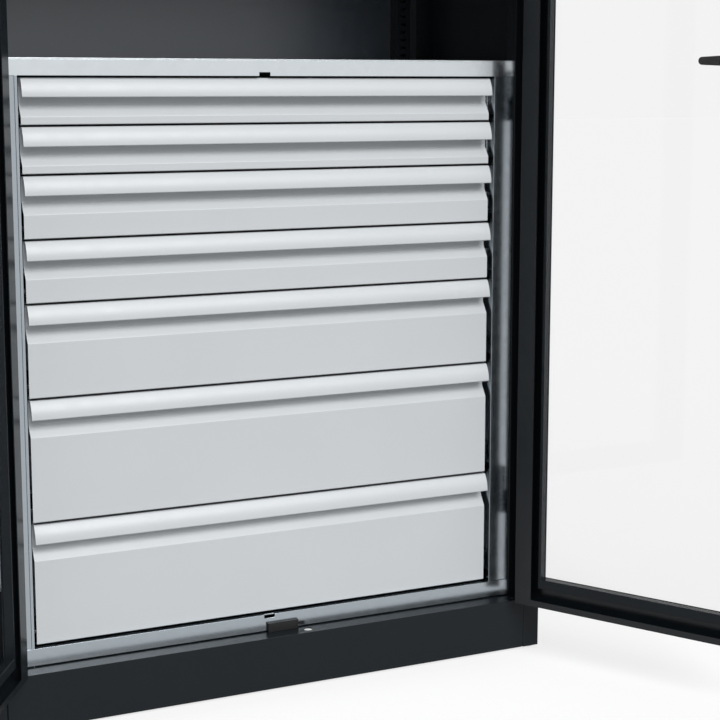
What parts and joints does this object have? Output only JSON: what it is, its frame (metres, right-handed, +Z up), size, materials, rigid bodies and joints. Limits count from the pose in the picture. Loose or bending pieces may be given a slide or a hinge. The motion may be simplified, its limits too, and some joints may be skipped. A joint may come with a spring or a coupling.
{
  "type": "cabinet with hinged window doors and a block of drawers",
  "caption": "Tall anthracite steel cabinet with two hinged window doors, a block of light grey drawers with curved full-width handles, and shelves above.",
  "frame": {"origin": "centre of the carcass's base, on the floor under the feet", "axes": "+X to the right seen from the front, +Y to the back, +Z up"},
  "size_m": [1.3834, 0.9217, 1.95],
  "materials": {
    "anthracite_paint": "satin powder coat",
    "light_grey_paint": "satin powder coat",
    "galvanised_steel": "galvanised sheet",
    "bright_zinc": "zinc plated",
    "black_plastic": "matt",
    "clear_pane": "clear acrylic"
  },
  "bodies": {
    "cabinet": {"side_wall_left": "anthracite_paint", "side_wall_right": "anthracite_paint", "back_wall": "anthracite_paint", "top_panel": "anthracite_paint", "floor_panel": "anthracite_paint", "plinth_front": "anthracite_paint", "levelling_feet": "galvanised_steel", "foot_plates": "anthracite_paint", "shelf_uprights": "anthracite_paint", "shelves": "galvanised_steel", "shelf_clips": "galvanised_steel", "block_side_left": "galvanised_steel", "block_side_right": "galvanised_steel", "block_cover": "galvanised_steel", "block_top_strip": "galvanised_steel", "block_bottom_rail": "galvanised_steel", "runner_rails": "bright_zinc", "door_stops": "black_plastic", "hinge_frame_leaves": "bright_zinc", "hinge_pins": "bright_zinc"},
    "door_right": {"door_right_skin": "anthracite_paint", "door_right_glazing_frame": "anthracite_paint", "door_right_window": "clear_pane", "door_right_hinge_leaves": "bright_zinc", "lock_case": "bright_zinc"},
    "door_left": {"door_left_skin": "anthracite_paint", "door_left_glazing_frame": "anthracite_paint", "door_left_window": "clear_pane", "door_left_hinge_leaves": "bright_zinc"},
    "lever": {"lock_handle": "black_plastic"},
    "upper_rod": {"lock_rod_upper": "bright_zinc"},
    "lower_rod": {"lock_rod_lower": "bright_zinc"},
    "drawer_1": {"drawer_1_front": "light_grey_paint", "drawer_1_tray": "light_grey_paint", "drawer_1_runners": "bright_zinc"},
    "slide_1": {"slide_1_members": "bright_zinc"},
    "drawer_2": {"drawer_2_front": "light_grey_paint", "drawer_2_tray": "light_grey_paint", "drawer_2_runners": "bright_zinc"},
    "slide_2": {"slide_2_members": "bright_zinc"},
    "drawer_3": {"drawer_3_front": "light_grey_paint", "drawer_3_tray": "light_grey_paint", "drawer_3_runners": "bright_zinc"},
    "slide_3": {"slide_3_members": "bright_zinc"},
    "drawer_4": {"drawer_4_front": "light_grey_paint", "drawer_4_tray": "light_grey_paint", "drawer_4_runners": "bright_zinc"},
    "slide_4": {"slide_4_members": "bright_zinc"},
    "drawer_5": {"drawer_5_front": "light_grey_paint", "drawer_5_tray": "light_grey_paint", "drawer_5_runners": "bright_zinc"},
    "slide_5": {"slide_5_members": "bright_zinc"},
    "drawer_6": {"drawer_6_front": "light_grey_paint", "drawer_6_tray": "light_grey_paint", "drawer_6_runners": "bright_zinc"},
    "slide_6": {"slide_6_members": "bright_zinc"},
    "drawer_7": {"drawer_7_front": "light_grey_paint", "drawer_7_tray": "light_grey_paint", "drawer_7_runners": "bright_zinc"},
    "slide_7": {"slide_7_members": "bright_zinc"}
  },
  "joints": [
    {"name": "door_right_hinge", "type": "hinge", "parent": "cabinet", "child": "door_right", "pos_m": [0.465, -0.2555, 0.9915], "axis": [0, 0, 1], "range_deg": [-120, 0]},
    {"name": "door_left_hinge", "type": "hinge", "parent": "cabinet", "child": "door_left", "pos_m": [-0.465, -0.2555, 0.9915], "axis": [0, 0, -1], "range_deg": [-120, 0]},
    {"name": "lock_lever_turn", "type": "hinge", "parent": "door_right", "child": "lever", "pos_m": [0.67107, -0.61342, 1.05], "axis": [0.866, 0.5, 0], "range_deg": [0, 90]},
    {"name": "lock_upper_rod_slide", "type": "slide", "parent": "door_right", "child": "upper_rod", "axis": [0, 0, 1], "range_m": [0, 0.018]},
    {"name": "lock_lower_rod_slide", "type": "slide", "parent": "door_right", "child": "lower_rod", "axis": [0, 0, -1], "range_m": [0, 0.018]},
    {"name": "drawer_1_pull", "type": "slide", "parent": "cabinet", "child": "drawer_1", "axis": [0, -1, 0], "range_m": [0, 0.39]},
    {"name": "slide_1_follow", "type": "slide", "parent": "cabinet", "child": "slide_1", "axis": [0, -1, 0], "range_m": [0, 0.195]},
    {"name": "drawer_2_pull", "type": "slide", "parent": "cabinet", "child": "drawer_2", "axis": [0, -1, 0], "range_m": [0, 0.39]},
    {"name": "slide_2_follow", "type": "slide", "parent": "cabinet", "child": "slide_2", "axis": [0, -1, 0], "range_m": [0, 0.195]},
    {"name": "drawer_3_pull", "type": "slide", "parent": "cabinet", "child": "drawer_3", "axis": [0, -1, 0], "range_m": [0, 0.39]},
    {"name": "slide_3_follow", "type": "slide", "parent": "cabinet", "child": "slide_3", "axis": [0, -1, 0], "range_m": [0, 0.195]},
    {"name": "drawer_4_pull", "type": "slide", "parent": "cabinet", "child": "drawer_4", "axis": [0, -1, 0], "range_m": [0, 0.39]},
    {"name": "slide_4_follow", "type": "slide", "parent": "cabinet", "child": "slide_4", "axis": [0, -1, 0], "range_m": [0, 0.195]},
    {"name": "drawer_5_pull", "type": "slide", "parent": "cabinet", "child": "drawer_5", "axis": [0, -1, 0], "range_m": [0, 0.39]},
    {"name": "slide_5_follow", "type": "slide", "parent": "cabinet", "child": "slide_5", "axis": [0, -1, 0], "range_m": [0, 0.195]},
    {"name": "drawer_6_pull", "type": "slide", "parent": "cabinet", "child": "drawer_6", "axis": [0, -1, 0], "range_m": [0, 0.39]},
    {"name": "slide_6_follow", "type": "slide", "parent": "cabinet", "child": "slide_6", "axis": [0, -1, 0], "range_m": [0, 0.195]},
    {"name": "drawer_7_pull", "type": "slide", "parent": "cabinet", "child": "drawer_7", "axis": [0, -1, 0], "range_m": [0, 0.39]},
    {"name": "slide_7_follow", "type": "slide", "parent": "cabinet", "child": "slide_7", "axis": [0, -1, 0], "range_m": [0, 0.195]}
  ],
  "couplings": [
    {"joint": "lock_upper_rod_slide", "follows": "lock_lever_turn", "m_per_rad": 0.011458},
    {"joint": "lock_lower_rod_slide", "follows": "lock_lever_turn", "m_per_rad": 0.011458},
    {"joint": "slide_1_follow", "follows": "drawer_1_pull", "ratio": 0.5},
    {"joint": "slide_2_follow", "follows": "drawer_2_pull", "ratio": 0.5},
    {"joint": "slide_3_follow", "follows": "drawer_3_pull", "ratio": 0.5},
    {"joint": "slide_4_follow", "follows": "drawer_4_pull", "ratio": 0.5},
    {"joint": "slide_5_follow", "follows": "drawer_5_pull", "ratio": 0.5},
    {"joint": "slide_6_follow", "follows": "drawer_6_pull", "ratio": 0.5},
    {"joint": "slide_7_follow", "follows": "drawer_7_pull", "ratio": 0.5}
  ]
}
